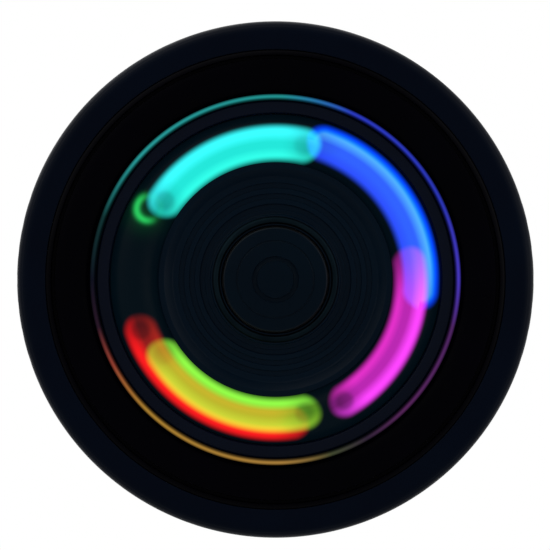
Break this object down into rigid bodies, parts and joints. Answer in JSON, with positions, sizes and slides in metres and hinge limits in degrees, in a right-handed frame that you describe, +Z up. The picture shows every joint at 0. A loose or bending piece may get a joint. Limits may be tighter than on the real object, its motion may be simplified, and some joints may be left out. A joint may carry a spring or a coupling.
{
  "type": "bicycle spoke wheel light",
  "caption": "Round bicycle wheel light that clips to a spoke, with a ring-shaped colour light guide, a push button, a coin-cell tray in its edge and a sprung rear clip.",
  "frame": {"origin": "centre of the spoke clamp, on the axis of the spoke, half-way along the jaws", "axes": "+Z up along the spoke, -Y out of the lit face, +X towards the clip's hinge and thumb tab"},
  "size_m": [0.07, 0.0207, 0.07],
  "materials": {
    "housing_plastic": "fine moulded texture, near black",
    "bumper_rubber": "satin navy-black rubber",
    "seal_rubber": "matte black",
    "screw_steel": "zinc plated",
    "bezel_plastic": "satin black",
    "trim_plastic": "satin navy-black",
    "light_guide": "frosted, lit in colours that run round the ring",
    "dish_plastic": "smoked, satin",
    "dark_chrome": "dark chrome",
    "button_plastic": "soft black",
    "switch_plastic": "moulded",
    "white_plastic": "white",
    "board_green": "solder mask",
    "led_package": "moulded",
    "chip_black": "moulded",
    "capacitor_tan": "fired",
    "contact_brass": "stamped",
    "cell_steel": "nickel plated",
    "clip_plastic": "fine moulded texture, near black",
    "pad_rubber": "matte dark grey",
    "spring_steel": "bright wire"
  },
  "bodies": {
    "lamp": {"rear_housing": "housing_plastic", "bumper_ring": "bumper_rubber", "case_gasket": "seal_rubber", "case_screws": "screw_steel", "front_bezel": "bezel_plastic", "trim_ring": "trim_plastic", "light_guide": "light_guide", "center_dish": "dish_plastic", "button_ring": "dark_chrome", "tact_switch": "switch_plastic", "reflector": "white_plastic", "circuit_board": "board_green", "leds": "led_package", "controller_chip": "chip_black", "resistors": "chip_black", "capacitors": "capacitor_tan", "upper_contact": "contact_brass", "lower_contact": "contact_brass", "clip_base": "clip_plastic", "base_screws": "screw_steel", "spoke_pad": "pad_rubber", "hinge_pin": "screw_steel", "clip_spring": "spring_steel"},
    "button": {"button_cap": "button_plastic", "button_oring": "seal_rubber", "switch_plunger": "switch_plastic"},
    "tray": {"battery_tray": "housing_plastic", "tray_gasket": "seal_rubber", "coin_cell_front": "cell_steel", "coin_cell_rear": "cell_steel"},
    "clip": {"clip_lever": "clip_plastic", "jaw_pad": "pad_rubber"}
  },
  "joints": [
    {"name": "button_press", "type": "slide", "parent": "lamp", "child": "button", "axis": [0, 1, 0], "range_m": [0, 0.0008], "stiffness_N_per_m": 400, "springref_m": -0.001},
    {"name": "tray_slide", "type": "slide", "parent": "lamp", "child": "tray", "axis": [0, 0, -1], "range_m": [0, 0.025]},
    {"name": "clip_open", "type": "hinge", "parent": "lamp", "child": "clip", "pos_m": [0.011, 0.0018, 0], "axis": [0, 0, -1], "range_deg": [0, 22], "stiffness_Nm_per_rad": 0.02, "springref_deg": -68.75, "deforming": ["clip_spring"]}
  ]
}
